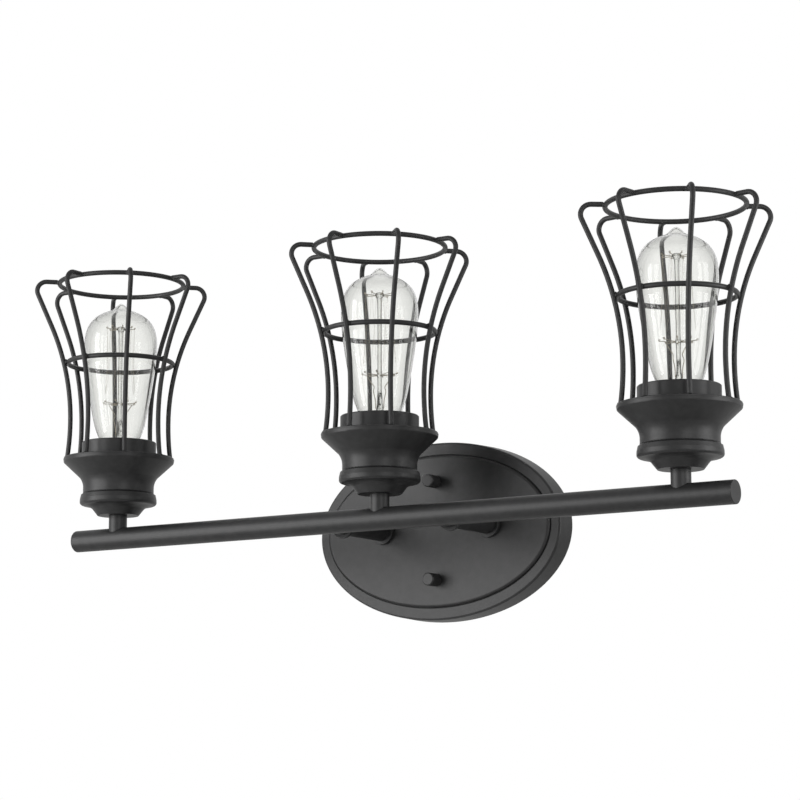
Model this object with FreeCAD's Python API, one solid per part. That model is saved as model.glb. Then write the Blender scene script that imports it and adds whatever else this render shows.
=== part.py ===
import FreeCAD, Part
import math
import os
from FreeCAD import Vector

# Cage wall light with three upright lamps on one bar, in millimetres.
# The wall is the plane y = 0, the room is towards -Y, +X runs along the bar and +Z is up.
# The origin is the centre of the mounting plate's back face, on the wall.

# ---- wall plate (canopy) ----
canopyHalfWidth = 120.6       # back rim, half of the oval's width
canopyHalfHeight = 76.5       # back rim, half of the oval's height
canopyDepth = 19.5            # wall to the flat front band
canopyDraft = 0.6             # how much smaller the oval is at the front edge
canopyEdge = 1.6              # rounding of the front edge
canopySheet = 1.2             # sheet thickness
panelHalfWidth = 107.9        # raised oval panel
panelHalfHeight = 62.4
panelRise = 2.5               # panel above the band
panelRamp = 2.5               # width of the rounded step round the panel
stepShape = [(1.0, -0.4), (1.0, -0.1), (0.985, 0.17), (0.94, 0.34), (0.82, 0.57), (0.64, 0.77),
             (0.4, 0.92), (0.15, 0.985), (-0.1, 1.0)]  # in ramps and rises
creaseWidth = 1.0             # crease between the band and the step
creaseDepth = 0.6
panelFront = -(canopyDepth + panelRise)

# ---- mounting plate and its hardware ----
plateRadius = 51.0
plateThickness = 1.6
wireHoleRadius = 13.0
slotSpacing = 79.4            # centres of the two slots, for boxes from 69.9 to 88.9 apart
slotLength = 14.4
slotRadius = 2.4
studSpacing = 84.0            # the two cap nuts, one above the other
studRadius = 2.05
studReach = 32.5              # how far the studs stand out from the wall
lockNutAcross = 8.0
lockNutThickness = 3.0
groundScrewPlace = 24.0       # below and beside the wire hole
groundScrewRadius = 2.3
groundHeadRadius = 4.4
groundHeadThickness = 2.6

# ---- cap nuts ----
capNutRadius = 5.5
capNutLength = 12.6
capNutChamfer = 0.8
capNutBore = 2.35
capNutBoreDepth = 11.2
washerThickness = 0.8
washerRadius = 5.0
washerBore = 2.4

# ---- bar ----
barAxisY = -109.0             # distance of the bar's axis from the wall
barAxisZ = 2.0                # the bar runs a little above the wall plate's middle
barRadius = 9.5
barWall = 1.2
barHalfLength = 322.0
endCapThickness = 1.5
endCapSpigot = 6.0
leadHoleRadius = 5.0          # holes in the bar for the leads

# ---- arms between the wall plate and the bar ----
armSpacing = 106.0
armRadius = 8.0
armWall = 1.5
armEndThickness = 6.0
nippleRadius = 4.9
nippleBore = 3.5
nippleTail = 8.2              # nipple behind the panel's front
collarRadius = 11.0
wallCollarThickness = 4.0
barCollarThickness = 3.0
barCollarOffset = 23.0        # bar axis to the collar's front face
collarRounding = 0.6
armNutAcross = 15.0
armNutThickness = 3.5

# ---- lamps ----
lampSpacing = 276.0
lampNames = ["left", "middle", "right"]
cageTurns = [0.0, 0.0, -8.6]  # each cage is clamped at a turn of its own, degrees

# heights below are measured from the bar's axis
stemRadius = 8.0
stemNippleTop = 31.0
cupBottom = 20.3
cupTop = 70.0
cupSheet = 1.5
cupBottomRadius = 18.1
cupNeckRadius = 31.1
cupBeadRadius = 33.8
cupRimRadius = 48.8
nippleHole = 5.2

cageBaseRadius = 48.4
cageBaseThickness = 1.5
cageBaseHole = 20.3

wireRadius = 2.1              # all the cage's wire
ribCount = 8
ribFootRadius = 45.5
ribWaistRadius = 43.4
ribWaistHeight = 103.0
ribFlareAngle = 24.5          # lean of the straight upper stretch, degrees
ribFlareBend = 210.0          # radius of the long bend that leads to it
ribHookBend = 8.3
ribHookRadius = 66.5          # centre of the hook's bend, from the lamp's axis
ribHookCrown = 228.2          # height of the hook's top
topRingRadius = 55.0
topRingHeight = 228.0
midRingHeight = 156.4
weldDepth = 0.25              # how deep the wires are melted into each other

ringRadius = 32.7             # retaining ring
ringHeight = 14.0
ringWall = 2.0
ringSleeveBore = 19.9
ringSleeveWall = 2.5
ringWeb = 2.4

holderRadius = 19.6           # lamp holder
holderHubRadius = 11.5
holderHubTop = 31.0
holderTop = 80.0
holderFloor = 45.0
holderWell = 13.0             # radius of the well under the ledge that the screw shell stands on
holderCavity = 15.0
holderGroove = 0.7            # rounding of the thread that the retaining ring turns on
holderGroovePitch = 3.0

threadPitch = 3.629           # medium screw cap, seven threads to the inch
threadSwing = 0.45            # half of the rolled thread's depth
threadSteps = 8               # sections a turn
shellRadius = 13.6            # socket's screw shell, outer face at half the thread's depth
shellSheet = 0.45
shellBottom = 49.0
shellTop = 79.0
shellThread = (50.2, 73.4)    # from and to this height

contactStripWidth = 7.0
contactStripThickness = 0.8
contactStripLength = 20.0
contactTongueTop = 50.2

# ---- bulb ----
bulbContactBottom = 50.6
insulatorRadius = 11.0
insulatorTop = 54.2
endContactRadius = 4.7
capShellBottom = 54.4
capShellTop = 78.0
capShellRadius = 12.7         # outer face at half the thread's depth
capShellSheet = 0.45
capShellLip = 11.4            # radius at the bottom
capShellCollar = 13.05        # radius of the plain collar that holds the glass
capThread = (56.4, 73.8)
glassSheet = 0.9
glassTop = 211.0
glassProfile = [(11.4, 70.0), (11.7, 74.5), (12.35, 77.9), (14.1, 81.4), (16.9, 86.0), (19.5, 91.5),
                (22.3, 100.0), (25.5, 116.0), (29.2, 138.0), (31.6, 156.0), (32.5, 171.0),
                (31.9, 181.0), (29.2, 189.8), (24.0, 196.7), (17.0, 201.2), (8.6, 204.2)]
pipProfile = [(6.6, 206.0), (4.6, 208.3), (2.4, 210.3)]
pipHollow = [(8.0, 203.1), (5.7, 204.9), (3.7, 207.2), (1.8, 209.1), (0.0, 209.9)]
mountFlareRadius = 10.6       # fused a little way into the neck
mountTubeRadius = 5.2
mountPressTop = 106.0
rodRadius = 1.9
rodButton = 1.9               # how far the button on top stands out from the rod
rodTop = 189.0
hookCount = 8
upperHookReach = 12.6
lowerHookReach = 14.6
upperHookHeight = 187.0
lowerHookHeight = 117.0
supportWireRadius = 0.28
filamentWireRadius = 0.22
leadOffset = 2.6


def upright(radius, low, high):
    return Part.makeCylinder(radius, high - low, Vector(0, 0, low))


def tube(outer, inner, low, high):
    return upright(outer, low, high).cut(upright(inner, low - 1, high + 1))


def outward(radius, nearWall, length):
    """A cylinder along Y from nearWall towards the room."""
    return Part.makeCylinder(radius, length, Vector(0, nearWall, 0), Vector(0, -1, 0))


def point(radius, height):
    return Vector(radius, 0, height)


def arc(start, through, end):
    return Part.Arc(point(*start), point(*through), point(*end)).toShape()


def line(start, end):
    return Part.LineSegment(point(*start), point(*end)).toShape()


def curve(points):
    spline = Part.BSplineCurve()
    spline.interpolate([point(*p) for p in points])
    return spline.toShape()


def turned(edges):
    """Turn a closed outline, drawn as radius and height, round the lamp's axis."""
    face = Part.Face(Part.Wire(edges))
    return face.revolve(Vector(0, 0, 0), Vector(0, 0, 1), 360)


def turnedPolygon(points):
    edges = [line(a, b) for a, b in zip(points, points[1:] + points[:1])]
    return turned(edges)


def hexNut(across, thickness, bore):
    """A hexagonal nut on the Z axis, from z = 0 up, with its corners turned off."""
    corner = across / math.sqrt(3)
    corners = [Vector(corner * math.cos(math.radians(60 * i)), corner * math.sin(math.radians(60 * i)), 0)
               for i in range(7)]
    prism = Part.Face(Part.makePolygon(corners)).extrude(Vector(0, 0, thickness))
    bevel = (corner - across / 2) * 0.6
    blank = turnedPolygon([(0, 0), (corner - bevel, 0), (corner, bevel), (corner, thickness - bevel),
                           (corner - bevel, thickness), (0, thickness)])
    return prism.common(blank).cut(upright(bore, -1, thickness + 1))


def facingRoom(shape, place):
    """Lay a piece that was made on the Z axis along -Y, with its foot at place."""
    laid = shape.copy()
    laid.rotate(Vector(0, 0, 0), Vector(1, 0, 0), 90)
    laid.translate(place)
    return laid


def moved(shape, x=0, y=0, z=0):
    copy = shape.copy()
    copy.translate(Vector(x, y, z))
    return copy


def save(name, *shapes):
    whole = shapes[0] if len(shapes) == 1 else Part.makeCompound(list(shapes))
    whole.exportStep("parts/" + name + ".step")


# ---- wall side ----

def ovalWire(halfWidth, halfHeight, y):
    ellipse = Part.Ellipse(Vector(0, y, 0), halfWidth, halfHeight)
    ellipse.Axis = Vector(0, -1, 0)
    ellipse.XAxis = Vector(1, 0, 0)
    return Part.Wire(ellipse.toShape())


def ovalLoft(sections):
    wires = [ovalWire(a, b, y) for a, b, y in sections]
    return Part.makeLoft(wires, True, True)


def canopyBlock(inset, backY):
    """The oval's outer form, drawn in by inset on every side."""
    a = canopyHalfWidth - inset
    b = canopyHalfHeight - inset
    front = -canopyDepth + inset
    edge = max(canopyEdge - inset, 0.3)
    body = ovalLoft([(a, b, backY),
                     (a - canopyDraft, b - canopyDraft, front + edge),
                     (a - canopyDraft - 0.3 * edge, b - canopyDraft - 0.3 * edge, front + 0.3 * edge),
                     (a - canopyDraft - edge, b - canopyDraft - edge, front)])
    pa = panelHalfWidth - inset
    pb = panelHalfHeight - inset
    lip = panelRamp + creaseWidth
    crease = ovalLoft([(pa + lip, pb + lip, front),
                       (pa + panelRamp, pb + panelRamp, front + creaseDepth)])
    panel = ovalLoft([(pa + w * panelRamp, pb + w * panelRamp, front - h * panelRise)
                      for w, h in stepShape])
    return body.cut(crease).fuse(panel).removeSplitter()


def makeCanopy():
    shell = canopyBlock(0, 0).cut(canopyBlock(canopySheet, 0.5))
    for side in (-1, 1):
        stud = moved(outward(studRadius + 0.65, 0, 40), z=side * studSpacing / 2)
        arm = moved(outward(nippleRadius + 0.3, 0, 40), x=side * armSpacing / 2, z=barAxisZ)
        shell = shell.cut(stud).cut(arm)
    return shell


def makeMountingPlate():
    plate = outward(plateRadius, 0, plateThickness)
    plate = plate.cut(outward(wireHoleRadius, 1, plateThickness + 2))
    half = slotLength / 2 - slotRadius
    for side in (-1, 1):
        x = side * slotSpacing / 2
        slot = Part.makeBox(2 * half, plateThickness + 2, 2 * slotRadius,
                            Vector(x - half, -plateThickness - 1, -slotRadius))
        for end in (-half, half):
            slot = slot.fuse(moved(outward(slotRadius, 1, plateThickness + 2), x=x + end))
        stud = moved(outward(studRadius, 1, plateThickness + 2), z=side * studSpacing / 2)
        plate = plate.cut(slot).cut(stud)
    ground = moved(outward(groundScrewRadius, 1, plateThickness + 2), x=groundScrewPlace, z=-groundScrewPlace)
    return plate.cut(ground)


def makeGroundScrew():
    head = turnedPolygon([(0, 0), (groundHeadRadius, 0), (groundHeadRadius, groundHeadThickness * 0.6),
                          (groundHeadRadius - 0.8, groundHeadThickness), (0, groundHeadThickness)])
    slot = Part.makeBox(2 * groundHeadRadius + 2, 1.0, 1.2,
                        Vector(-groundHeadRadius - 1, -0.5, groundHeadThickness - 1.1))
    screw = head.cut(slot).fuse(upright(groundScrewRadius, -plateThickness, 0))
    return facingRoom(screw, Vector(groundScrewPlace, -plateThickness, -groundScrewPlace))


def makeStud():
    tip = 0.6
    return turnedPolygon([(0, 0), (studRadius, 0), (studRadius, studReach - tip),
                          (studRadius - tip, studReach), (0, studReach)])


def makeCapNut():
    body = turnedPolygon([(0, 0), (capNutRadius - 0.3, 0), (capNutRadius, 0.3),
                          (capNutRadius, capNutLength - capNutChamfer),
                          (capNutRadius - capNutChamfer, capNutLength), (0, capNutLength)])
    bore = upright(capNutBore, -1, capNutBoreDepth)
    drillPoint = Part.makeCone(capNutBore, 0, 0.8, Vector(0, 0, capNutBoreDepth))
    return body.cut(bore.fuse(drillPoint))


def makeWallSide():
    save("canopy", makeCanopy())
    save("mounting_plate", makeMountingPlate())
    save("ground_screw", makeGroundScrew())
    places = [Vector(0, 0, side * studSpacing / 2) for side in (1, -1)]
    save("canopy_studs", *[facingRoom(makeStud(), p) for p in places])
    lockNut = hexNut(lockNutAcross, lockNutThickness, studRadius)
    save("stud_lock_nuts", *[facingRoom(lockNut, p + Vector(0, -plateThickness, 0)) for p in places])
    washer = tube(washerRadius, washerBore, 0, washerThickness)
    for name, place in zip(("top", "bottom"), places):
        save("nut_washer_" + name, facingRoom(washer, place + Vector(0, panelFront, 0)))
        save("cap_nut_" + name, facingRoom(makeCapNut(), place + Vector(0, panelFront - washerThickness, 0)))


# ---- arms and bar, made at the height z = 0 and saved at barAxisZ ----

def barBlank(radius, halfLength):
    return Part.makeCylinder(radius, 2 * halfLength, Vector(-halfLength, barAxisY, 0), Vector(1, 0, 0))


def makeArm():
    """One arm on the Y axis: a tube that butts on the bar and ends in a threaded nipple."""
    reach = -barAxisY
    body = outward(armRadius, panelFront, reach + panelFront)
    body = body.cut(outward(armRadius - armWall, panelFront - armEndThickness, reach))
    nipple = outward(nippleRadius, panelFront + nippleTail, nippleTail)
    body = body.fuse(nipple).cut(outward(nippleBore, 0, -panelFront + armEndThickness + 1))
    body = body.cut(barBlank(barRadius, armRadius + 5))
    return body.removeSplitter()


def makeCollar(thickness):
    r = collarRounding
    k = r * (1 - math.sqrt(0.5))
    outer = collarRadius
    return turned([line((armRadius, 0), (outer - r, 0)),
                   arc((outer - r, 0), (outer - k, k), (outer, r)),
                   line((outer, r), (outer, thickness - r)),
                   arc((outer, thickness - r), (outer - k, thickness - k), (outer - r, thickness)),
                   line((outer - r, thickness), (armRadius, thickness)),
                   line((armRadius, thickness), (armRadius, 0))])


def makeArms():
    places = [-armSpacing / 2, armSpacing / 2]
    arm = makeArm()
    for name, x in zip(("left", "right"), places):
        save("arm_" + name, moved(arm, x=x, z=barAxisZ))
    wallCollar = makeCollar(wallCollarThickness)
    save("wall_collars", *[facingRoom(wallCollar, Vector(x, panelFront, barAxisZ)) for x in places])
    barCollar = makeCollar(barCollarThickness)
    behindBar = barAxisY + barCollarOffset + barCollarThickness
    save("bar_collars", *[facingRoom(barCollar, Vector(x, behindBar, barAxisZ)) for x in places])
    armNut = hexNut(armNutAcross, armNutThickness, nippleRadius)
    innerFace = panelFront + canopySheet + armNutThickness
    save("arm_lock_nuts", *[facingRoom(armNut, Vector(x, innerFace, barAxisZ)) for x in places])


def makeBar():
    inside = barHalfLength - endCapThickness
    bar = barBlank(barRadius, inside).cut(barBlank(barRadius - barWall, inside + 1))
    for i in (-1, 0, 1):
        hole = Part.makeCylinder(leadHoleRadius, 2 * barRadius, Vector(i * lampSpacing, barAxisY, 0))
        bar = bar.cut(hole)
    for x in (-armSpacing / 2, armSpacing / 2):
        hole = Part.makeCylinder(leadHoleRadius, 2 * barRadius, Vector(x, barAxisY, 0), Vector(0, 1, 0))
        bar = bar.cut(hole)
    return bar


def makeEndCap():
    """A pressed-in plug on the Z axis: its face is the bar's end, its spigot points down."""
    r = 0.6
    k = r * (1 - math.sqrt(0.5))
    t = endCapThickness
    spigot = barRadius - barWall
    return turned([line((0, -endCapSpigot), (spigot, -endCapSpigot)),
                   line((spigot, -endCapSpigot), (spigot, 0)),
                   line((spigot, 0), (barRadius, 0)),
                   line((barRadius, 0), (barRadius, t - r)),
                   arc((barRadius, t - r), (barRadius - k, t - k), (barRadius - r, t)),
                   line((barRadius - r, t), (0, t)),
                   line((0, t), (0, -endCapSpigot))])


def makeBarSide():
    save("bar_tube", moved(makeBar(), z=barAxisZ))
    caps = []
    for side in (-1, 1):
        cap = makeEndCap()
        cap.rotate(Vector(0, 0, 0), Vector(0, 1, 0), side * 90)
        caps.append(moved(cap, x=side * (barHalfLength - endCapThickness), y=barAxisY, z=barAxisZ))
    save("bar_end_caps", *caps)


# ---- one lamp, made round the Z axis with z = 0 on the bar's axis ----

def makeStem():
    stem = upright(stemRadius, 0, cupBottom).fuse(upright(nippleRadius, cupBottom, stemNippleTop))
    stem = stem.cut(upright(nippleBore, -1, stemNippleTop + 1))
    bar = Part.makeCylinder(barRadius, 40, Vector(-20, 0, 0), Vector(1, 0, 0))
    return stem.cut(bar).removeSplitter()


def cupOutline(inset):
    """The cup's profile from its foot to its rim, drawn in by inset."""
    i = inset
    neck = cupNeckRadius - i
    bead = cupBeadRadius - i
    return [line((cupBottomRadius - i, cupBottom + i), (22.9 - i, 26.4 + i)),
            arc((22.9 - i, 26.4 + i), (26.2 - i, 28.3 + i), (31.4 - i, 29.4 + i)),
            arc((31.4 - i, 29.4 + i), (bead - 0.7, 30.2 + i), (bead, 31.9 + i)),
            line((bead, 31.9 + i), (bead - 0.1, 34.6 + i)),
            line((bead - 0.1, 34.6 + i), (bead - 1.0, 38.5 + i)),
            arc((bead - 1.0, 38.5 + i), (neck + 0.5, 39.2 + i), (neck, 40.6 + i)),
            line((neck, 40.6 + i), (neck, 45.4)),
            arc((neck, 45.4), (31.9 - i, 49.6), (34.2 - i, 53.9)),
            line((34.2 - i, 53.9), (47.9 - i, 66.7)),
            arc((47.9 - i, 66.7), (48.35 - i, 67.3), (48.5 - i, 68.0)),
            line((48.5 - i, 68.0), (cupRimRadius - i, cupTop))]


def makeCup():
    outer = cupOutline(0)
    inner = cupOutline(cupSheet)
    t = cupSheet
    edges = outer + [line((cupRimRadius, cupTop), (cupRimRadius - t, cupTop))] + inner
    edges += [line((cupBottomRadius - t, cupBottom + t), (nippleHole, cupBottom + t)),
              line((nippleHole, cupBottom + t), (nippleHole, cupBottom)),
              line((nippleHole, cupBottom), (cupBottomRadius, cupBottom))]
    return turned(Part.__sortEdges__(edges))


def makeCageBase():
    r = cageBaseRadius
    top = cupTop + cageBaseThickness
    return turnedPolygon([(cageBaseHole, cupTop), (r, cupTop), (r, top - 0.5), (r - 0.5, top),
                          (cageBaseHole, top)])


def ribPath():
    """Foot, shallow waist, long flare and the hook that turns in to the top ring."""
    foot = cupTop + cageBaseThickness
    lowBend = ((ribWaistHeight - foot) ** 2 + (ribFootRadius - ribWaistRadius) ** 2) \
        / (2 * (ribFootRadius - ribWaistRadius))

    def onBend(bend, height):
        drop = height - ribWaistHeight
        return (ribWaistRadius + bend - math.sqrt(bend ** 2 - drop ** 2), height)

    lean = math.radians(ribFlareAngle)
    flareStart = ribWaistHeight + ribFlareBend * math.sin(lean)
    middle = ribWaistHeight + ribFlareBend * math.sin(lean / 2)
    hookHeight = ribHookCrown - ribHookBend
    flareEnd = (ribHookRadius + ribHookBend * math.cos(lean), hookHeight - ribHookBend * math.sin(lean))
    away = math.radians((90 - ribFlareAngle) / 2)
    hookMiddle = (ribHookRadius + ribHookBend * math.cos(away), hookHeight + ribHookBend * math.sin(away))
    crown = (ribHookRadius, ribHookCrown)
    end = (topRingRadius + wireRadius - weldDepth, ribHookCrown)
    halfWay = (foot + ribWaistHeight) / 2
    return [arc((ribFootRadius, foot), onBend(lowBend, halfWay), (ribWaistRadius, ribWaistHeight)),
            arc((ribWaistRadius, ribWaistHeight), onBend(ribFlareBend, middle),
                onBend(ribFlareBend, flareStart)),
            line(onBend(ribFlareBend, flareStart), flareEnd),
            arc(flareEnd, hookMiddle, crown),
            line(crown, end)]


def makeRib():
    path = Part.Wire(ribPath())
    foot = cupTop + cageBaseThickness
    start = Part.Wire(Part.Circle(point(ribFootRadius, foot), Vector(0, 0, 1), wireRadius).toShape())
    return path.makePipeShell([start], True, False)


def ribRadiusAt(height):
    """Centre line of the rib on the long bend."""
    drop = height - ribWaistHeight
    return ribWaistRadius + ribFlareBend - math.sqrt(ribFlareBend ** 2 - drop ** 2)


def makeRibs(turn):
    """The ribs stand every 45 degrees, the first one at -Y turned by turn."""
    ribs = []
    for i in range(ribCount):
        rib = makeRib()
        rib.rotate(Vector(0, 0, 0), Vector(0, 0, 1), -90 + turn + i * 360 / ribCount)
        ribs.append(rib)
    return ribs


def makeCageRings():
    lean = math.asin((midRingHeight - ribWaistHeight) / ribFlareBend)
    apart = (2 * wireRadius - weldDepth) / math.cos(lean)
    middle = Part.makeTorus(ribRadiusAt(midRingHeight) - apart, wireRadius, Vector(0, 0, midRingHeight))
    top = Part.makeTorus(topRingRadius, wireRadius, Vector(0, 0, topRingHeight))
    return middle, top


def makeRetainingRing():
    low = cupTop + cageBaseThickness
    high = low + ringHeight
    sleeve = ringSleeveBore + ringSleeveWall
    skirt = ringRadius - ringWall
    e = 0.7
    return turnedPolygon([(ringSleeveBore, low), (sleeve, low), (sleeve, high - ringWeb),
                          (skirt, high - ringWeb), (skirt, low), (ringRadius, low),
                          (ringRadius, high - e), (ringRadius - e, high),
                          (ringSleeveBore + e, high), (ringSleeveBore, high - e)])


def makeHolder():
    """Insulating body: hub on the stem's nipple, cavity for the screw shell, grooved skirt for the ring."""
    floor = cupBottom + cupSheet
    body = turnedPolygon([(0, floor), (holderHubRadius, floor), (holderHubRadius, holderHubTop),
                          (holderRadius, holderHubTop + 6), (holderRadius, holderTop - 0.8),
                          (holderRadius - 0.8, holderTop), (0, holderTop)])
    body = body.cut(upright(nippleRadius, floor - 1, stemNippleTop))
    body = body.cut(upright(nippleBore, floor, holderFloor + 1))
    body = body.cut(upright(holderWell, holderFloor, holderTop))
    body = body.cut(upright(holderCavity, shellBottom, holderTop + 1))
    grooveTop = holderTop - 1.6
    for i in range(3):
        height = grooveTop - i * holderGroovePitch
        body = body.cut(Part.makeTorus(holderRadius + 0.25, holderGroove, Vector(0, 0, height)))
    return body


def threadedForm(radius, heights, fadeSide, below, above):
    """A rolled thread as a solid: circles whose centre runs round the axis while they rise.

    At both ends it fades to a plain circle, outwards for fadeSide 1 and inwards for -1.
    below and above are the plain sections under and over it, as radius and height.
    """
    low, high = heights
    count = round((high - low) / threadPitch * threadSteps)
    sections = [(r, z, 0) for r, z in below]
    for i in range(count + 1):
        swing = threadSwing * min(1, 2 * i / threadSteps, 2 * (count - i) / threadSteps)
        plain = fadeSide * (threadSwing - swing)
        sections.append((radius + plain, low + (high - low) * i / count, swing))
    sections += [(r, z, 0) for r, z in above]
    wires = []
    for r, z, swing in sections:
        turn = 2 * math.pi * z / threadPitch
        centre = Vector(swing * math.cos(turn), swing * math.sin(turn), z)
        wires.append(Part.Wire(Part.Circle(centre, Vector(0, 0, 1), r).toShape()))
    return Part.makeLoft(wires, True, True)


def rolledSheet(radius, sheet, heights, fadeSide, below, above):
    """The sheet between a thread's outer form and the same form drawn in by its thickness."""
    outer = threadedForm(radius, heights, fadeSide, below, above)
    past = 0.2
    belowIn = [(r - sheet, z) for r, z in below]
    aboveIn = [(r - sheet, z) for r, z in above]
    belowIn[0] = (belowIn[0][0], belowIn[0][1] - past)
    aboveIn[-1] = (aboveIn[-1][0], aboveIn[-1][1] + past)
    return outer.cut(threadedForm(radius - sheet, heights, fadeSide, belowIn, aboveIn))


def makeSocketShell():
    lip = shellRadius + threadSwing
    below = [(lip, shellBottom), (lip, shellBottom + 0.6)]
    above = [(lip, shellThread[1] + 1.0), (lip, shellThread[1] + 2.5), (lip, shellTop)]
    return rolledSheet(shellRadius, shellSheet, shellThread, 1, below, above)


def makeCentreContact():
    """Strip on the holder's floor with a tongue that rises under the bulb."""
    t = contactStripThickness
    half = contactStripLength / 2
    rise = contactTongueTop - holderFloor
    outline = [Vector(-half, 0, 0), Vector(half, 0, 0), Vector(half, 0, t), Vector(-half + 5, 0, t),
               Vector(-1.5, 0, rise - t), Vector(2.5, 0, rise - t), Vector(3.0, 0, rise - 0.2),
               Vector(2.2, 0, rise), Vector(-2.0, 0, rise), Vector(-half + 4, 0, t + 0.9),
               Vector(-half, 0, t)]
    face = Part.Face(Part.makePolygon(outline + outline[:1]))
    strip = face.extrude(Vector(0, contactStripWidth, 0))
    return moved(strip, y=-contactStripWidth / 2, z=holderFloor)


def makeBulbInsulator():
    low = bulbContactBottom
    return turnedPolygon([(0, low), (endContactRadius - 1.0, low), (endContactRadius, low + 0.9),
                          (endContactRadius + 0.6, low + 1.1), (insulatorRadius - 0.6, insulatorTop - 0.9),
                          (insulatorRadius - 0.6, insulatorTop), (0, insulatorTop)])


def makeBulbCap():
    """Rolled cap: a cone down to the insulator, the thread and a plain collar round the glass."""
    root = capShellRadius - threadSwing
    below = [(capShellLip, capShellBottom), ((capShellLip + root) / 2, capShellBottom + 0.8),
             (root - 0.1, capShellBottom + 1.5)]
    above = [(capShellCollar - 0.3, capThread[1] + 0.6), (capShellCollar, capThread[1] + 1.2),
             (capShellCollar, capThread[1] + 2.2), (capShellCollar, capShellTop)]
    return rolledSheet(capShellRadius, capShellSheet, capThread, -1, below, above)


def makeBulbGlass():
    """Blown shell, open at its neck inside the cap, with the drawn-off tip on top."""
    neckBottom = glassProfile[0][1]
    outer = curve(glassProfile + pipProfile + [(0, glassTop)])
    t = glassSheet
    drawnIn = [(r - t, z) for r, z in glassProfile[:-3]]
    drawnIn += [(r - 0.8 * t, z - 0.7 * t) for r, z in glassProfile[-3:-1]]
    drawnIn += pipHollow
    inner = curve(drawnIn)
    return turned([line((drawnIn[0][0], neckBottom), (glassProfile[0][0], neckBottom)), outer,
                   line((0, glassTop), drawnIn[-1]), inner])


def makeGlassMount():
    """Flared foot sealed in the neck, pressed tube above it and the rod that carries the hooks."""
    low = glassProfile[0][1]
    button = rodRadius + rodButton
    return turned([line((0, low), (mountFlareRadius, low)),
                   line((mountFlareRadius, low), (mountFlareRadius, low + 1.2)),
                   arc((mountFlareRadius, low + 1.2), (mountTubeRadius + 1.6, low + 5.5),
                       (mountTubeRadius, low + 14.0)),
                   line((mountTubeRadius, low + 14.0), (mountTubeRadius, mountPressTop - 7)),
                   arc((mountTubeRadius, mountPressTop - 7), (4.2, mountPressTop - 2.2),
                       (rodRadius, mountPressTop)),
                   line((rodRadius, mountPressTop), (rodRadius, rodTop)),
                   line((rodRadius, rodTop), (button, rodTop + 0.5)),
                   line((button, rodTop + 0.5), (button, rodTop + 2.0)),
                   line((button, rodTop + 2.0), (0, rodTop + 2.6)),
                   line((0, rodTop + 2.6), (0, low))])


def straightWire(start, end, radius):
    along = end.sub(start)
    return Part.makeCylinder(radius, along.Length, start, along)


def hookEnd(reach, angle, height):
    a = math.radians(angle)
    return Vector(reach * math.cos(a), reach * math.sin(a), height)


def makeFilament():
    """Two stars of support wire on the rod and the filament laid up and down between them."""
    wires = []
    step = 360 / hookCount
    stars = [(upperHookReach, upperHookHeight, 0), (lowerHookReach, lowerHookHeight, step / 2)]
    for i in range(hookCount):
        for reach, height, turn in stars:
            inner = hookEnd(rodRadius - 0.2, i * step + turn, height)
            outer = hookEnd(reach + 0.5, i * step + turn, height)
            wires.append(straightWire(inner, outer, supportWireRadius))
    for i in range(hookCount):
        top = hookEnd(upperHookReach, i * step, upperHookHeight)
        for turn in (-step / 2, step / 2):
            low = hookEnd(lowerHookReach, i * step + turn, lowerHookHeight)
            wires.append(straightWire(low, top, filamentWireRadius))
    for side in (-1, 1):
        foot = Vector(side * leadOffset, 0, mountPressTop - 2.4)
        knee = hookEnd(lowerHookReach * 0.8, 22.5 + (0 if side > 0 else 180), lowerHookHeight - 0.2)
        wires.append(straightWire(foot, knee, supportWireRadius))
    whole = wires[0]
    return whole.multiFuse(wires[1:])


def makeLamps():
    cup = makeCup()
    stem = makeStem()
    cageBase = makeCageBase()
    rings = makeCageRings()
    retainingRing = makeRetainingRing()
    holder = makeHolder()
    shell = makeSocketShell()
    contact = makeCentreContact()
    insulator = makeBulbInsulator()
    cap = makeBulbCap()
    glass = makeBulbGlass()
    mount = makeGlassMount()
    filament = makeFilament().cut(mount)
    for i, name in enumerate(lampNames):
        x = (i - 1) * lampSpacing
        pieces = {"stem_": [stem], "socket_cup_": [cup], "cage_base_": [cageBase],
                  "cage_ribs_": makeRibs(cageTurns[i]), "cage_rings_": rings,
                  "retaining_ring_": [retainingRing], "lamp_holder_": [holder], "socket_shell_": [shell],
                  "centre_contact_": [contact], "bulb_insulator_": [insulator], "bulb_cap_": [cap],
                  "bulb_glass_": [glass], "glass_mount_": [mount], "filament_": [filament]}
        for stemName, shapes in pieces.items():
            save(stemName + name, *[moved(s, x=x, y=barAxisY, z=barAxisZ) for s in shapes])


os.makedirs("parts", exist_ok=True)
makeWallSide()
makeArms()
makeBarSide()
makeLamps()
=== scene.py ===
import bpy
import math
from mathutils import Matrix, Vector


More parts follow.
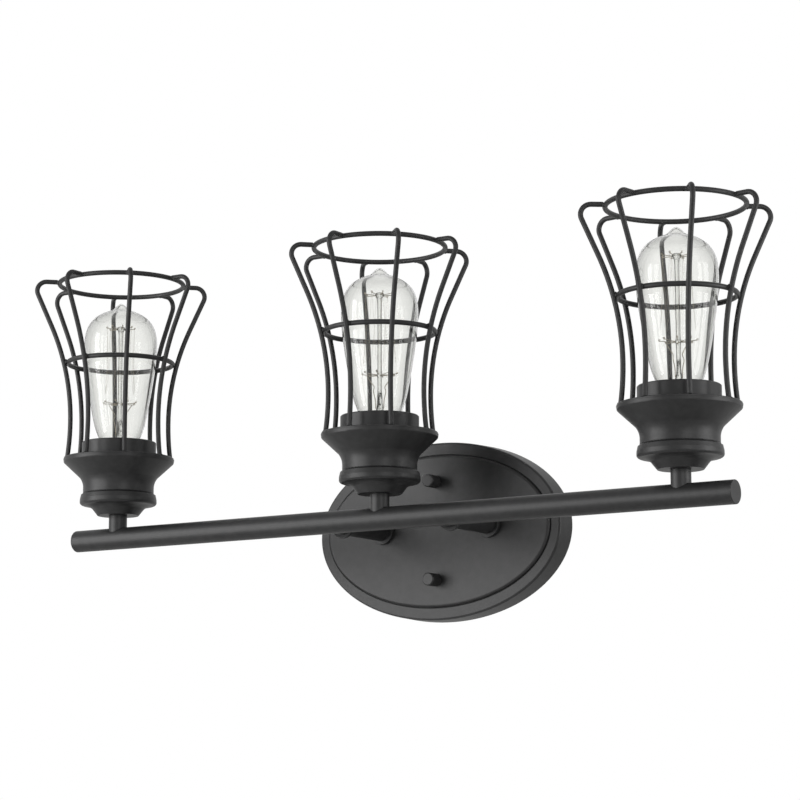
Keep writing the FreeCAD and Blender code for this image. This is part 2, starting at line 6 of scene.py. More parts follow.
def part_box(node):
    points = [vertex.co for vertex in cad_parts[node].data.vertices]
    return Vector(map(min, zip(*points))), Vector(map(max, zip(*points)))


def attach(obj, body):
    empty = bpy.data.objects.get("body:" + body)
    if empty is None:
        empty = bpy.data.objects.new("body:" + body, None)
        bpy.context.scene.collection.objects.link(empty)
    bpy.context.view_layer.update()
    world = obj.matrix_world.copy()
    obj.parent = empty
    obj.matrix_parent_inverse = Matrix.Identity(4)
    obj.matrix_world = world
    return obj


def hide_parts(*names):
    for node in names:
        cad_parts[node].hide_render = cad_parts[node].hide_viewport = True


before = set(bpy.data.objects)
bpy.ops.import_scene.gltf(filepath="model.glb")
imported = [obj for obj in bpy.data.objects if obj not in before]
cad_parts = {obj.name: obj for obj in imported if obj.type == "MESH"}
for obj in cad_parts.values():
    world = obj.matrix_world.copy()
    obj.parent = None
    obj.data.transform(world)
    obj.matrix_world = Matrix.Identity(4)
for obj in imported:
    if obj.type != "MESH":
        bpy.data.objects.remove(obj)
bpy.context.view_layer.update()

print("cage wall light: frame loaded")

lampNames = ["left", "middle", "right"]
mm = 0.001
mergeDistance = 0.005 * mm
wireCurve = {"order": 3, "resolution": 4}
softAngle = 60  # degrees, up to which a made piece shades smoothly
noiseDetail = {"plain": 1.0, "fine": 2.0, "uneven": 3.0, "cloudy": 4.0}
bevelSamples = 4


def deselectAll():
    if bpy.context.object and bpy.context.object.mode != "OBJECT":
        bpy.ops.object.mode_set(mode="OBJECT")
    bpy.ops.object.select_all(action="DESELECT")


def pick(piece):
    deselectAll()
    piece.select_set(True)
    bpy.context.view_layer.objects.active = piece


def lampAxis(name):  # heights on a lamp are measured from the bar's axis
    low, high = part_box("stem_" + name)
    barLow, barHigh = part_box("bar_tube")
    return Vector(((low.x + high.x) / 2, (low.y + high.y) / 2, (barLow.z + barHigh.z) / 2))


def settle(piece, place):  # the place goes into the mesh
    piece.location = place
    pick(piece)
    bpy.ops.object.transform_apply(location=True, rotation=True, scale=True)


def smooth(piece, angle=softAngle):
    pick(piece)
    bpy.ops.object.shade_smooth_by_angle(angle=math.radians(angle))


def roundOff(piece):
    rounding = piece.modifiers.new("round", "SUBSURF")
    rounding.levels = 1
    rounding.render_levels = 1
    pick(piece)
    bpy.ops.object.modifier_apply(modifier="round")


def cleanUp(piece):
    pick(piece)
    bpy.ops.object.mode_set(mode="EDIT")
    bpy.ops.mesh.select_all(action="SELECT")
    bpy.ops.mesh.remove_doubles(threshold=mergeDistance)
    bpy.ops.mesh.normals_make_consistent(inside=False)
    bpy.ops.object.mode_set(mode="OBJECT")


def joined(name, parts):
    deselectAll()
    for part in parts:
        part.select_set(True)
    bpy.context.view_layer.objects.active = parts[0]
    if len(parts) > 1:
        bpy.ops.object.join()
    whole = bpy.context.object
    whole.name = name
    whole.data.name = name
    return whole


def raisedTube(name, sections, sides=24):  # sections: height and the two half widths, in mm
    z, a, b = sections[0]
    deselectAll()
    bpy.ops.mesh.primitive_circle_add(vertices=sides, radius=1.0, fill_type="NGON", location=(0, 0, 0))
    piece = bpy.context.object
    piece.name = name
    bpy.ops.object.mode_set(mode="EDIT")
    bpy.ops.mesh.select_all(action="SELECT")
    bpy.ops.transform.resize(value=(a * mm, b * mm, 1))
    bpy.ops.transform.translate(value=(0, 0, z * mm))
    for nextZ, nextA, nextB in sections[1:]:
        bpy.ops.mesh.extrude_region_move(TRANSFORM_OT_translate={"value": (0, 0, (nextZ - z) * mm)})
        bpy.ops.transform.resize(value=(nextA / a, nextB / b, 1), center_override=(0, 0, nextZ * mm))
        z, a, b = nextZ, nextA, nextB
    bpy.ops.object.mode_set(mode="OBJECT")
    cleanUp(piece)
    return piece


def drawnWire(name, points, radius, sides=2):  # all in mm
    deselectAll()
    bpy.ops.curve.primitive_nurbs_path_add(location=(0, 0, 0))
    wire = bpy.context.object
    wire.name = name
    wire.data.splines.clear()
    spline = wire.data.splines.new("NURBS")
    spline.points.add(len(points) - 1)
    for spot, p in zip(spline.points, points):
        spot.co = (p[0] * mm, p[1] * mm, p[2] * mm, 1)
    spline.order_u = wireCurve["order"]
    spline.use_endpoint_u = True
    spline.resolution_u = wireCurve["resolution"]
    wire.data.bevel_depth = radius * mm
    wire.data.bevel_resolution = sides
    wire.data.use_fill_caps = True
    pick(wire)
    bpy.ops.object.convert(target="MESH")
    return bpy.context.object


def newMaterial(name):
    material = bpy.data.materials.new(name)
    material.use_nodes = True
    tree = material.node_tree
    shader = tree.nodes["Principled BSDF"]
    return material, tree, shader


def addNode(tree, kind, **inputs):
    node = tree.nodes.new(kind)
    for key, value in inputs.items():
        node.inputs[key.replace("_", " ")].default_value = value
    return node


def placed(tree):  # object coordinates, in metres
    spot = tree.nodes.new("ShaderNodeTexCoord")
    mapping = tree.nodes.new("ShaderNodeMapping")
    tree.links.new(spot.outputs["Object"], mapping.inputs["Vector"])
    return mapping.outputs["Vector"]


def noise(tree, where, scale, detail, roughness=0.5):
    node = addNode(tree, "ShaderNodeTexNoise", Scale=scale, Detail=noiseDetail[detail], Roughness=roughness)
    tree.links.new(where, node.inputs["Vector"])
    return node.outputs["Fac"]


def ranged(tree, value, low, high, fromLow=0.3, fromHigh=0.7):
    node = tree.nodes.new("ShaderNodeMapRange")
    node.inputs["From Min"].default_value = fromLow
    node.inputs["From Max"].default_value = fromHigh
    node.inputs["To Min"].default_value = low
    node.inputs["To Max"].default_value = high
    tree.links.new(value, node.inputs["Value"])
    return node.outputs["Result"]


def tinted(tree, value, dark, light):
    node = tree.nodes.new("ShaderNodeMix")
    node.data_type = "RGBA"
    node.inputs["A"].default_value = (*dark, 1)
    node.inputs["B"].default_value = (*light, 1)
    tree.links.new(value, node.inputs["Factor"])
    return node.outputs["Result"]


def bumped(tree, shader, height, distance, before=None):
    node = addNode(tree, "ShaderNodeBump", Strength=1.0, Distance=distance)
    tree.links.new(height, node.inputs["Height"])
    if before is not None:
        tree.links.new(before, node.inputs["Normal"])
    tree.links.new(node.outputs["Normal"], shader.inputs["Normal"])
    return node.outputs["Normal"]


def softEdges(tree, radius):
    node = tree.nodes.new("ShaderNodeBevel")
    node.samples = bevelSamples
    node.inputs["Radius"].default_value = radius
    return node.outputs["Normal"]


def powderCoat(name, settings):  # fine orange peel over a fainter, wider flow
    material, tree, shader = newMaterial(name)
    where = placed(tree)
    peel = noise(tree, where, settings["peelScale"], "fine", settings["peelCrisp"])
    flow = noise(tree, where, settings["flowScale"], "uneven")
    speck = noise(tree, where, settings["speckScale"], "plain")
    tree.links.new(tinted(tree, ranged(tree, flow, 0, 1), settings["dark"], settings["light"]),
                   shader.inputs["Base Color"])
    dullness = ranged(tree, speck, settings["roughLow"], settings["roughHigh"])
    tree.links.new(dullness, shader.inputs["Roughness"])
    shader.inputs["Specular IOR Level"].default_value = settings["specular"]
    first = bumped(tree, shader, flow, settings["flowHeight"], softEdges(tree, settings["edge"]))
    bumped(tree, shader, peel, settings["peelHeight"], first)
    return material


plateCoat = {"peelScale": 1100, "peelCrisp": 0.55, "flowScale": 160, "speckScale": 2600,
             "dark": (0.012, 0.012, 0.0122), "light": (0.018, 0.018, 0.0183), "roughLow": 0.38,
             "roughHigh": 0.48, "specular": 0.22, "flowHeight": 0.00002, "peelHeight": 0.000018,
             "edge": 0.0004}
wireCoat = {"peelScale": 1500, "peelCrisp": 0.55, "flowScale": 420, "speckScale": 3000,
            "dark": (0.012, 0.012, 0.0122), "light": (0.020, 0.020, 0.0203), "roughLow": 0.40,
            "roughHigh": 0.52, "specular": 0.22, "flowHeight": 0.00006, "peelHeight": 0.00003,
            "edge": 0.0003}


def zincPlating(name, settings):
    material, tree, shader = newMaterial(name)
    where = placed(tree)
    cloud = noise(tree, where, settings["cloudScale"], "cloudy")
    grain = noise(tree, where, settings["grainScale"], "fine")
    tree.links.new(tinted(tree, ranged(tree, cloud, 0, 1), settings["dark"], settings["light"]),
                   shader.inputs["Base Color"])
    dullness = ranged(tree, grain, settings["roughLow"], settings["roughHigh"])
    tree.links.new(dullness, shader.inputs["Roughness"])
    shader.inputs["Metallic"].default_value = 1.0
    bumped(tree, shader, grain, settings["grainHeight"], softEdges(tree, settings["edge"]))
    return material


zincSheet = {"cloudScale": 60, "grainScale": 900, "dark": (0.50, 0.51, 0.53), "light": (0.68, 0.68, 0.66),
             "roughLow": 0.28, "roughHigh": 0.46, "grainHeight": 0.00002, "edge": 0.0002}


def rolledMetal(name, settings):  # drawing marks along the height and a few dull spots
    material, tree, shader = newMaterial(name)
    where = placed(tree)
    cloud = noise(tree, where, rolling["cloudScale"], "uneven")
    streak = tree.nodes.new("ShaderNodeMapping")
    streak.inputs["Scale"].default_value = (1, 1, rolling["squeeze"])
    tree.links.new(where, streak.inputs["Vector"])
    marks = noise(tree, streak.outputs["Vector"], rolling["markScale"], "fine")
    tree.links.new(tinted(tree, ranged(tree, cloud, 0, 1), settings["dark"], settings["light"]),
                   shader.inputs["Base Color"])
    dullness = ranged(tree, marks, settings["roughLow"], settings["roughHigh"])
    tree.links.new(dullness, shader.inputs["Roughness"])
    shader.inputs["Metallic"].default_value = 1.0
    bumped(tree, shader, marks, rolling["markHeight"])
    return material


rolling = {"cloudScale": 220, "markScale": 500, "squeeze": 14, "markHeight": 0.00001}
shellBrass = {"dark": (0.62, 0.44, 0.19), "light": (0.80, 0.62, 0.30), "roughLow": 0.26, "roughHigh": 0.42}
bulbNickel = {"dark": (0.60, 0.59, 0.56), "light": (0.76, 0.75, 0.72), "roughLow": 0.22, "roughHigh": 0.38}
hookWire = {"dark": (0.30, 0.26, 0.20), "light": (0.44, 0.40, 0.32), "roughLow": 0.35, "roughHigh": 0.5}


def mouldedPlastic(name, settings):
    material, tree, shader = newMaterial(name)
    where = placed(tree)
    cloud = noise(tree, where, moulding["cloudScale"], "cloudy")
    grain = noise(tree, where, moulding["grainScale"], "fine")
    tree.links.new(tinted(tree, ranged(tree, cloud, 0, 1), settings["dark"], settings["light"]),
                   shader.inputs["Base Color"])
    dullness = ranged(tree, grain, settings["roughLow"], settings["roughHigh"])
    tree.links.new(dullness, shader.inputs["Roughness"])
    bumped(tree, shader, grain, moulding["grainHeight"], softEdges(tree, moulding["edge"]))
    return material


moulding = {"cloudScale": 300, "grainScale": 1800, "grainHeight": 0.00002, "edge": 0.0003}
holderPhenolic = {"dark": (0.022, 0.020, 0.019), "light": (0.034, 0.031, 0.029),
                  "roughLow": 0.42, "roughHigh": 0.6}
washerRubber = {"dark": (0.018, 0.018, 0.018), "light": (0.028, 0.028, 0.028),
                "roughLow": 0.7, "roughHigh": 0.85}
screwGreen = {"dark": (0.02, 0.17, 0.06), "light": (0.04, 0.26, 0.10), "roughLow": 0.3, "roughHigh": 0.45}


def clearGlass(name, settings):  # darker where the wall is seen edge on, a painted shade, with a trace of haze
    material, tree, shader = newMaterial(name)
    where = placed(tree)
    ripple = noise(tree, where, settings["rippleScale"], "plain")
    haze = noise(tree, where, settings["hazeScale"], "uneven")
    slant = tree.nodes.new("ShaderNodeLayerWeight")
    slant.inputs["Blend"].default_value = settings["blend"]
    # painted shade: the colour turns towards the edge colour where the wall is seen edge on
    paintedEdgeShade = ranged(tree, slant.outputs["Facing"], 0, 1, settings["edgeShadeFrom"], settings["edgeShadeTo"])
    tree.links.new(tinted(tree, paintedEdgeShade, settings["tint"], settings["edge"]), shader.inputs["Base Color"])
    shader.inputs["Roughness"].default_value = 0.0
    shader.inputs["IOR"].default_value = settings["ior"]
    shader.inputs["Specular Tint"].default_value = (*settings["shine"], 1)
    tree.links.new(ranged(tree, haze, settings["clearLow"], settings["clearHigh"]),
                   shader.inputs["Transmission Weight"])
    bumped(tree, shader, ripple, settings["ripple"])
    return material


# edge is the painted shade colour of the bulb's wall where it is seen edge on
bulbWall = {"tint": (0.945, 0.948, 0.930), "edge": (0.17, 0.17, 0.165), "blend": 0.2, "edgeShadeFrom": 0.08,
            "edgeShadeTo": 0.62, "ior": 1.52, "shine": (0.25, 0.25, 0.25), "clearLow": 0.97, "clearHigh": 0.99,
            "rippleScale": 30, "hazeScale": 70, "ripple": 0.00003}
# edge here is a near black painted dark outline on the pressed glass of the mount
pressedWall = {"tint": (0.93, 0.935, 0.92), "edge": (0.006, 0.006, 0.005), "blend": 0.5, "edgeShadeFrom": 0.08,
               "edgeShadeTo": 0.45, "ior": 1.50, "shine": (0.5, 0.5, 0.5), "clearLow": 0.95, "clearHigh": 0.97,
               "rippleScale": 30, "hazeScale": 70, "ripple": 0.0001}


def insulatorGlass(name, settings):  # black fused glass, tinned at its foot over the solder dot
    material, tree, shader = newMaterial(name)
    where = placed(tree)
    parts = tree.nodes.new("ShaderNodeSeparateXYZ")
    tree.links.new(where, parts.inputs["Vector"])
    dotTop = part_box("bulb_insulator_left")[0].z + settings["dot"]
    contact = ranged(tree, parts.outputs["Z"], 1, 0, dotTop, dotTop + settings["fade"])
    grain = noise(tree, where, settings["grainScale"], "fine")
    tree.links.new(tinted(tree, contact, settings["glass"], settings["tin"]), shader.inputs["Base Color"])
    tree.links.new(contact, shader.inputs["Metallic"])
    dullness = ranged(tree, grain, settings["roughLow"], settings["roughHigh"])
    tree.links.new(dullness, shader.inputs["Roughness"])
    bumped(tree, shader, grain, settings["grainHeight"])
    return material


insulatorPiece = {"dot": 0.001, "fade": 0.0001, "glass": (0.02, 0.02, 0.024), "tin": (0.62, 0.62, 0.60),
                  "roughLow": 0.16, "roughHigh": 0.4, "grainScale": 900, "grainHeight": 0.00003}


def threadedZinc(name, settings):  # the thread's ridges follow each other along the Y axis
    material, tree, shader = newMaterial(name)
    where = placed(tree)
    ridges = tree.nodes.new("ShaderNodeTexWave")
    ridges.bands_direction = "Y"
    ridges.inputs["Scale"].default_value = settings["ridgeScale"]
    tree.links.new(where, ridges.inputs["Vector"])
    cloud = noise(tree, where, settings["cloudScale"], "uneven")
    tree.links.new(tinted(tree, ranged(tree, cloud, 0, 1), settings["dark"], settings["light"]),
                   shader.inputs["Base Color"])
    shader.inputs["Metallic"].default_value = 1.0
    shader.inputs["Roughness"].default_value = settings["rough"]
    bumped(tree, shader, ridges.outputs["Fac"], settings["ridgeHeight"])
    return material


studThread = {"ridgeScale": 400, "cloudScale": 200, "dark": (0.46, 0.47, 0.49), "light": (0.64, 0.64, 0.62),
              "rough": 0.36, "ridgeHeight": 0.0003}

blackCoat = powderCoat("blackPowderCoat", plateCoat)
blackWire = powderCoat("blackWireCoat", wireCoat)
zinc = zincPlating("zincPlate", zincSheet)
studZinc = threadedZinc("studThread", studThread)
socketBrass = rolledMetal("socketBrass", shellBrass)
capNickel = rolledMetal("capNickel", bulbNickel)
tungsten = rolledMetal("tungstenWire", hookWire)
phenolic = mouldedPlastic("blackPhenolic", holderPhenolic)
rubber = mouldedPlastic("blackRubber", washerRubber)
greenScrew = mouldedPlastic("greenScrew", screwGreen)
bulbGlass = clearGlass("clearBulbGlass", bulbWall)
mountGlass = clearGlass("pressedMountGlass", pressedWall)
insulator = insulatorGlass("blackInsulator", insulatorPiece)

finishes = {
    "canopy": blackCoat, "arm_left": blackCoat, "arm_right": blackCoat, "wall_collars": blackCoat,
    "bar_collars": blackCoat, "bar_tube": blackCoat, "bar_end_caps": blackCoat, "cap_nut_top": blackCoat,
    "cap_nut_bottom": blackCoat, "mounting_plate": zinc, "stud_lock_nuts": zinc, "arm_lock_nuts": zinc,
    "canopy_studs": studZinc, "ground_screw": greenScrew, "nut_washer_top": rubber,
    "nut_washer_bottom": rubber}
lampFinishes = {
    "stem": blackCoat, "socket_cup": blackCoat, "cage_base": blackCoat, "retaining_ring": blackCoat,
    "cage_ribs": blackWire, "cage_rings": blackWire, "lamp_holder": phenolic, "socket_shell": socketBrass,
    "centre_contact": socketBrass, "bulb_insulator": insulator, "bulb_cap": capNickel,
    "bulb_glass": bulbGlass, "glass_mount": mountGlass, "filament": tungsten}
for stem, finish in lampFinishes.items():
    for lamp in lampNames:
        finishes[stem + "_" + lamp] = finish


def dressFrame():
    for node, finish in finishes.items():
        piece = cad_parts[node]
        piece.data.materials.clear()
        piece.data.materials.append(finish)


dressFrame()
print("cage wall light: finishes on", len(finishes), "nodes")


view = {"place": (1.1461, -1.8599, -0.2394), "azimuth": 32.74, "elevation": -9.22, "roll": -0.11,
        "sensor": 36.0, "lens": 115.0, "shiftX": -0.00035, "shiftY": 0.0012, "nearest": 0.05}


def setCamera():
    a = math.radians(view["azimuth"])
    e = math.radians(view["elevation"])
    back = Vector((math.sin(a) * math.cos(e), -math.cos(a) * math.cos(e), math.sin(e)))
    right = Vector((math.cos(a), math.sin(a), 0))
    up = back.cross(right)
    turn = Matrix((right, up, back)).transposed().to_4x4()
    deselectAll()
    bpy.ops.object.camera_add()
    camera = bpy.context.object
    camera.name = "productCamera"
    roll = Matrix.Rotation(math.radians(view["roll"]), 4, "Z")
    camera.matrix_world = Matrix.Translation(view["place"]) @ turn @ roll
    camera.data.sensor_width = view["sensor"]
    camera.data.lens = view["lens"]
    camera.data.shift_x = view["shiftX"]
    camera.data.shift_y = view["shiftY"]
    camera.data.clip_start = view["nearest"]
    bpy.context.scene.camera = camera


lamps = [{"name": "keyStrip", "place": (-1.25, -1.25, 0.05), "wide": 0.5, "tall": 1.5, "power": 24.0},
         {"name": "frontStrip", "place": (-0.75, -1.9, 0.1), "wide": 0.7, "tall": 1.4, "power": 22.0},
         {"name": "sideSheet", "place": (1.9, -1.6, 0.3), "wide": 0.9, "tall": 1.4, "power": 18.0},
         {"name": "rightLamp", "place": (0.95, 0.05, 0.1), "wide": 0.45, "tall": 0.6, "power": 5.0}]
lampAim = (0, -0.1, 0.08)
roomLight = {"seen": (1, 1, 1), "onObject": (0.03, 0.03, 0.03)}
floorSheet = {"size": 60.0, "height": -0.72, "colour": (0.86, 0.86, 0.85), "cloudScale": 3, "cloudDim": 0.98,
              "rough": 0.9, "glow": (0.95, 0.95, 0.94), "share": 0.8}


def setLamps():
    for lamp in lamps:
        deselectAll()
        bpy.ops.object.light_add(type="AREA", location=lamp["place"])
        light = bpy.context.object
        light.name = lamp["name"]
        light.data.shape = "RECTANGLE"
        light.data.size = lamp["wide"]
        light.data.size_y = lamp["tall"]
        light.data.energy = lamp["power"]
        light.visible_transmission = False  # no lamp is seen through a bulb as a white blot
        aim = Vector(lampAim) - Vector(lamp["place"])
        light.rotation_euler = aim.to_track_quat("-Z", "Y").to_euler()


def seenRays(tree):  # the rays that show the surroundings, straight or in gloss and glass
    paths = tree.nodes.new("ShaderNodeLightPath")
    first = tree.nodes.new("ShaderNodeMath")
    first.operation = "MAXIMUM"
    both = tree.nodes.new("ShaderNodeMath")
    both.operation = "MAXIMUM"
    tree.links.new(paths.outputs["Is Camera Ray"], first.inputs[0])
    tree.links.new(paths.outputs["Is Glossy Ray"], first.inputs[1])
    tree.links.new(first.outputs[0], both.inputs[0])
    tree.links.new(paths.outputs["Is Transmission Ray"], both.inputs[1])
    return both.outputs[0]


def setRoom():  # white behind everything, while a dimmer room lights the object
    world = bpy.data.worlds.new("whiteRoom")
    bpy.context.scene.world = world
    world.use_nodes = True
    tree = world.node_tree
    tree.nodes.clear()
    mix = tree.nodes.new("ShaderNodeMix")
    mix.data_type = "RGBA"
    mix.inputs["A"].default_value = (*roomLight["onObject"], 1)
    mix.inputs["B"].default_value = (*roomLight["seen"], 1)
    tree.links.new(seenRays(tree), mix.inputs["Factor"])
    shade = tree.nodes.new("ShaderNodeBackground")
    tree.links.new(mix.outputs["Result"], shade.inputs["Color"])
    out = tree.nodes.new("ShaderNodeOutputWorld")
    tree.links.new(shade.outputs["Background"], out.inputs["Surface"])


def setFloor():  # a share of it is pale where it is seen, the rest takes light and shadow
    deselectAll()
    bpy.ops.mesh.primitive_plane_add(size=floorSheet["size"], location=(0, 0, 0))
    floor = bpy.context.object
    floor.name = "paleFloor"
    settle(floor, (0, 0, floorSheet["height"]))
    material, tree, shader = newMaterial("paleFloor")
    cloud = noise(tree, placed(tree), floorSheet["cloudScale"], "fine")
    pale = floorSheet["colour"]
    dimmed = tuple(c * floorSheet["cloudDim"] for c in pale)
    tree.links.new(tinted(tree, cloud, dimmed, pale), shader.inputs["Base Color"])
    shader.inputs["Roughness"].default_value = floorSheet["rough"]
    glow = tree.nodes.new("ShaderNodeEmission")
    glow.inputs["Color"].default_value = (*floorSheet["glow"], 1)
    share = tree.nodes.new("ShaderNodeMath")
    share.operation = "MULTIPLY"
    tree.links.new(seenRays(tree), share.inputs[0])
    share.inputs[1].default_value = floorSheet["share"]
    mix = tree.nodes.new("ShaderNodeMixShader")
    tree.links.new(share.outputs[0], mix.inputs["Fac"])
    tree.links.new(shader.outputs["BSDF"], mix.inputs[1])
    tree.links.new(glow.outputs["Emission"], mix.inputs[2])
    tree.links.new(mix.outputs["Shader"], tree.nodes["Material Output"].inputs["Surface"])
    floor.data.materials.append(material)


setCamera()
setLamps()
setRoom()
setFloor()
bpy.context.scene.view_settings.view_transform = "Standard"
print("cage wall light: camera and light set")


# heights and radii on a lamp are in mm, from the bar's axis and the lamp's axis
glassPiece = {
    "profile": [(70.05, 11.35), (74.5, 11.65), (77.9, 12.3), (81.4, 14.05), (86.0, 16.85), (91.5, 19.45),
                (100.0, 22.25), (108.0, 23.9), (116.0, 25.45), (127.0, 27.4), (138.0, 29.15), (147.0, 30.45),
                (156.0, 31.55), (164.0, 32.25), (171.0, 32.45), (176.5, 32.3), (181.0, 31.85), (185.8, 30.75),
                (189.8, 29.15), (193.6, 26.85), (196.7, 23.95), (199.2, 20.7), (201.2, 16.95), (202.9, 12.8),
                (204.2, 8.7), (206.0, 6.5), (208.3, 4.5), (210.1, 2.4), (210.8, 1.0), (210.95, 0.3)],
    "sides": 80, "wall": 0.8, "footMargin": 0.01, "softAngle": 70}


def makeGlass(lamp, axis):  # a spun wall, open at its foot
    profile = glassPiece["profile"]
    footTop = (profile[0][0] + glassPiece["footMargin"]) * mm
    piece = raisedTube("bulb_wall_" + lamp, [(z, r, r) for z, r in profile], glassPiece["sides"])
    for face in piece.data.polygons:
        face.select = face.center.z < footTop
    for edge in piece.data.edges:
        edge.select = False
    for corner in piece.data.vertices:
        corner.select = False
    pick(piece)
    bpy.ops.object.mode_set(mode="EDIT")
    bpy.ops.mesh.select_mode(type="FACE")
    bpy.ops.mesh.delete(type="ONLY_FACE")
    bpy.ops.object.mode_set(mode="OBJECT")
    roundOff(piece)
    sheet = piece.modifiers.new("sheet", "SOLIDIFY")
    sheet.thickness = glassPiece["wall"] * mm
    sheet.offset = -1.0
    bpy.ops.object.modifier_apply(modifier="sheet")
    smooth(piece, glassPiece["softAngle"])
    settle(piece, axis)
    piece.data.materials.append(bulbGlass)
    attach(piece, "bulb_" + lamp)
    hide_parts("bulb_glass_" + lamp)


mountPiece = {
    "sections": [(70.0, 10.3, 10.3), (70.9, 10.2, 10.2), (72.2, 7.6, 7.6), (75.0, 5.6, 5.6), (79.0, 4.7, 4.7),
                 (86.0, 4.3, 4.3), (90.0, 4.6, 3.4), (94.0, 5.3, 2.2), (99.5, 5.5, 1.9), (102.5, 4.4, 1.9),
                 (104.6, 2.6, 1.9), (106.5, 1.9, 1.8), (110.0, 1.8, 1.8), (117.8, 1.8, 1.8),
                 (118.8, 2.3, 2.3), (120.0, 2.5, 2.5), (121.2, 2.3, 2.3), (122.2, 1.8, 1.8),
                 (130.0, 1.75, 1.75), (160.0, 1.75, 1.75), (184.6, 1.75, 1.75), (186.2, 2.7, 2.7),
                 (187.2, 3.7, 3.7), (188.6, 3.9, 3.9), (189.6, 3.1, 3.1), (190.0, 1.2, 1.2)],
    "sides": 32, "turns": {"left": 25.0, "middle": 40.0, "right": 62.0}}


def makeMount(lamp, axis):
    piece = raisedTube("stem_press_" + lamp, mountPiece["sections"], mountPiece["sides"])
    pick(piece)
    bpy.ops.object.mode_set(mode="EDIT")
    bpy.ops.mesh.select_all(action="SELECT")
    bpy.ops.transform.rotate(value=math.radians(mountPiece["turns"][lamp]), orient_axis="Z",
                             center_override=(0, 0, 0))
    bpy.ops.object.mode_set(mode="OBJECT")
    roundOff(piece)
    smooth(piece)
    settle(piece, axis)
    piece.data.materials.append(mountGlass)
    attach(piece, "bulb_" + lamp)
    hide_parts("glass_mount_" + lamp)


starPiece = {"count": 8, "wire": 0.30, "curl": 1.0,
             "bendOut": 0.45, "bendUp": 0.1, "shankUp": 0.55, "eyeUp": 0.6,  # shares of reach and rise
             "eye": [(0.2, 0.0, 0.0), (0.8, 0.8, 0.0), (0.0, 1.5, 0.2), (-0.8, 0.7, 0.5), (-0.1, -0.2, 0.6)],
             "upper": {"height": 187.6, "reach": 12.2, "turn": 0.0, "root": 2.6, "rise": 0.9},
             "lower": {"height": 120.0, "reach": 14.6, "turn": 22.5, "root": 2.0, "rise": 1.2}}
filamentPiece = {"wire": 0.08, "sag": 0.5, "inside": 0.2, "lowLift": 1.8, "lowAside": 0.8, "highLift": 0.6,
                 "highAside": 0.3, "middle": -34.0, "spread": 2.6}
leadPiece = {"wire": 0.34,  # across the press, away from it, height
             "path": [(3.4, 0, 92.0), (3.4, 0, 99.0), (4.6, 0, 103.0), (5.4, 0, 107.0), (4.0, 1.2, 110.0),
                      (6.5, 2.4, 113.5), (10.5, 3.0, 119.6)]}


def hookPoint(star, index, out, lift=0.0, aside=0.0):
    angle = math.radians(star["turn"] + index * 360 / starPiece["count"])
    x = out * math.cos(angle) - aside * math.sin(angle)
    y = out * math.sin(angle) + aside * math.cos(angle)
    return (x, y, star["height"] + lift)


def makeHook(star, index):  # set in the rod's bead, rising a little and curled into an eye
    reach, curl, rise = star["reach"], starPiece["curl"], star["rise"]
    points = [hookPoint(star, index, star["root"]),
              hookPoint(star, index, starPiece["bendOut"] * reach, starPiece["bendUp"] * rise),
              hookPoint(star, index, reach - curl, starPiece["shankUp"] * rise)]
    for out, lift, aside in starPiece["eye"]:
        points.append(hookPoint(star, index, reach + out, starPiece["eyeUp"] * rise + lift, aside))
    return drawnWire("hook", points, starPiece["wire"])


def makeStrand():  # laid up and down between the two stars
    upper, lower = starPiece["upper"], starPiece["lower"]
    eyeLow = lower["reach"] - filamentPiece["inside"]
    eyeHigh = upper["reach"] - filamentPiece["inside"]
    halfway = eyeHigh - filamentPiece["sag"]
    lowLift, highLift = filamentPiece["lowLift"], filamentPiece["highLift"]
    aside, spread, middle = filamentPiece["highAside"], filamentPiece["spread"], filamentPiece["middle"]
    points = []
    for i in range(starPiece["count"]):
        points.append(hookPoint(lower, i - 1, eyeLow, lowLift))
        points.append(hookPoint(upper, i, halfway, middle, -spread))
        points.append(hookPoint(upper, i, eyeHigh, highLift, -aside))
        points.append(hookPoint(upper, i, eyeHigh, highLift, aside))
        points.append(hookPoint(upper, i, halfway, middle, spread))
    last = starPiece["count"] - 1
    points.append(hookPoint(lower, last, eyeLow, lowLift, filamentPiece["lowAside"]))
    return drawnWire("strand", points, filamentPiece["wire"], 1)


def makeLead(side, turn):  # from the press out towards the lower star
    across = Vector((math.cos(turn), math.sin(turn), 0)) * side
    away = Vector((-math.sin(turn), math.cos(turn), 0))
    points = [(*(across * out + away * off).xy, height) for out, off, height in leadPiece["path"]]
    return drawnWire("lead", points, leadPiece["wire"])


def makeFilament(lamp, axis):
    stars = [starPiece["upper"], starPiece["lower"]]
    parts = [makeHook(star, i) for star in stars for i in range(starPiece["count"])]
    parts.append(makeStrand())
    turn = math.radians(mountPiece["turns"][lamp])
    parts += [makeLead(side, turn) for side in (-1, 1)]
    piece = joined("hooks_and_filament_" + lamp, parts)
    smooth(piece)
    settle(piece, axis)
    piece.data.materials.append(tungsten)
    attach(piece, "bulb_" + lamp)
    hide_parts("filament_" + lamp)


weldPiece = {"ribs": 8, "turns": {"left": 0.0, "middle": 0.0, "right": -8.6},
             "top": {"radius": 56.6, "height": 227.7, "size": (1.7, 2.8, 2.0)},
             "middle": {"radius": 48.3, "height": 156.4, "size": (1.3, 2.5, 2.6)},
             "foot": {"radius": 45.5, "height": 71.5, "sides": 20,  # the outline is height and radius
                      "outline": [(0.0, 3.0), (0.15, 2.595), (0.405, 2.298), (0.9, 2.05)]},
             "firstRib": -90, "roundness": 4, "lumpSize": 1.6, "lumpHeight": 0.4}


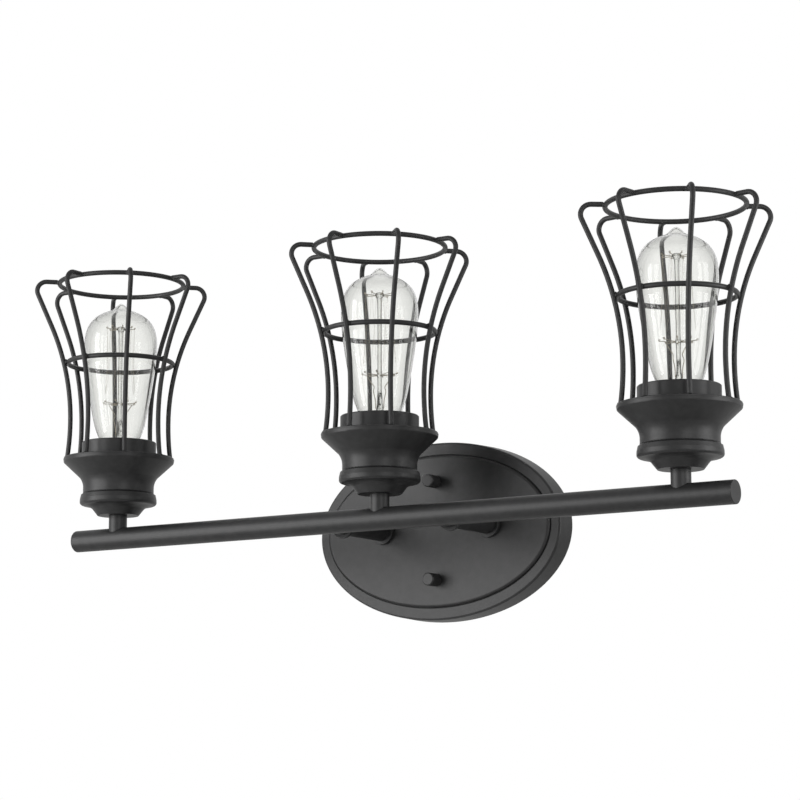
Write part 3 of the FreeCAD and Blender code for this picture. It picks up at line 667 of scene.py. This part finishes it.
def weldBead(size):  # a ball that is pulled into shape and roughened
    deselectAll()
    bpy.ops.mesh.primitive_ico_sphere_add(subdivisions=weldPiece["roundness"], radius=mm, location=(0, 0, 0))
    bead = bpy.context.object
    bpy.ops.object.mode_set(mode="EDIT")
    bpy.ops.mesh.select_all(action="SELECT")
    bpy.ops.transform.resize(value=size)
    bpy.ops.object.mode_set(mode="OBJECT")
    lump = bpy.data.textures.new("weldLumps", "CLOUDS")
    lump.noise_scale = weldPiece["lumpSize"] * mm
    rough = bead.modifiers.new("lumps", "DISPLACE")
    rough.texture = lump
    rough.strength = weldPiece["lumpHeight"] * mm
    pick(bead)
    bpy.ops.object.modifier_apply(modifier="lumps")
    return bead


def footFillet():  # the ring of weld round a rib's foot
    foot = weldPiece["foot"]
    return raisedTube("footFillet", [(z, r, r) for z, r in foot["outline"]], foot["sides"])


def copiesRound(piece, spot, turn):  # one at each rib, round the lamp's axis
    out = Matrix.Translation((spot["radius"] * mm, 0, spot["height"] * mm))
    copies = []
    for i in range(weldPiece["ribs"]):
        copy = piece.copy()
        copy.data = piece.data.copy()
        bpy.context.collection.objects.link(copy)
        angle = math.radians(weldPiece["firstRib"] + turn + i * 360 / weldPiece["ribs"])
        copy.matrix_world = Matrix.Rotation(angle, 4, "Z") @ out
        copies.append(copy)
    return copies


def makeWelds(lamp, axis):
    turn = weldPiece["turns"][lamp]
    parts = []
    for spot in ("top", "middle"):
        bead = weldBead(weldPiece[spot]["size"])
        parts += copiesRound(bead, weldPiece[spot], turn)
        bpy.data.objects.remove(bead)
    fillet = footFillet()
    parts += copiesRound(fillet, weldPiece["foot"], turn)
    bpy.data.objects.remove(fillet)
    piece = joined("cage_welds_" + lamp, parts)
    pick(piece)
    bpy.ops.object.transform_apply(location=True, rotation=True, scale=True)
    smooth(piece)
    settle(piece, axis)
    piece.data.materials.append(blackWire)
    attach(piece, "fixture")


for lamp in lampNames:
    axis = lampAxis(lamp)
    makeGlass(lamp, axis)
    makeMount(lamp, axis)
    makeFilament(lamp, axis)
    makeWelds(lamp, axis)
    print("cage wall light: lamp", lamp, "dressed")
